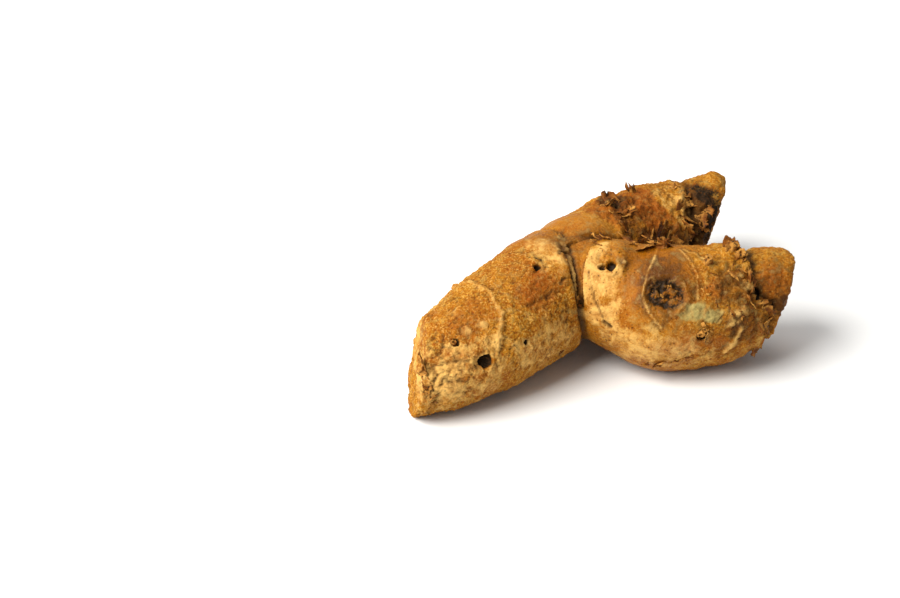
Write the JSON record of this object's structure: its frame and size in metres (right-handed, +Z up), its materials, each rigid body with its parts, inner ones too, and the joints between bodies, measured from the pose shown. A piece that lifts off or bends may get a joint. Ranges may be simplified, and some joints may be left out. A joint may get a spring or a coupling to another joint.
{
  "type": "lesser galangal rhizome",
  "caption": "Fresh branched rhizome of lesser galangal: a low arched finger with broken ends and a stout side branch, with root scars and leaf scale rings.",
  "frame": {"origin": "on the surface the rhizome rests on, at the middle of its footprint's bounding box", "axes": "+Z up as it rests, +X along the side branch from the fork to its broken end, +Y from the side branch towards the far end of the main axis"},
  "size_m": [0.0626, 0.059, 0.0209],
  "materials": {
    "rhizome": "corky satin skin"
  },
  "bodies": {
    "root": {"rhizome": "rhizome"}
  },
  "joints": []
}
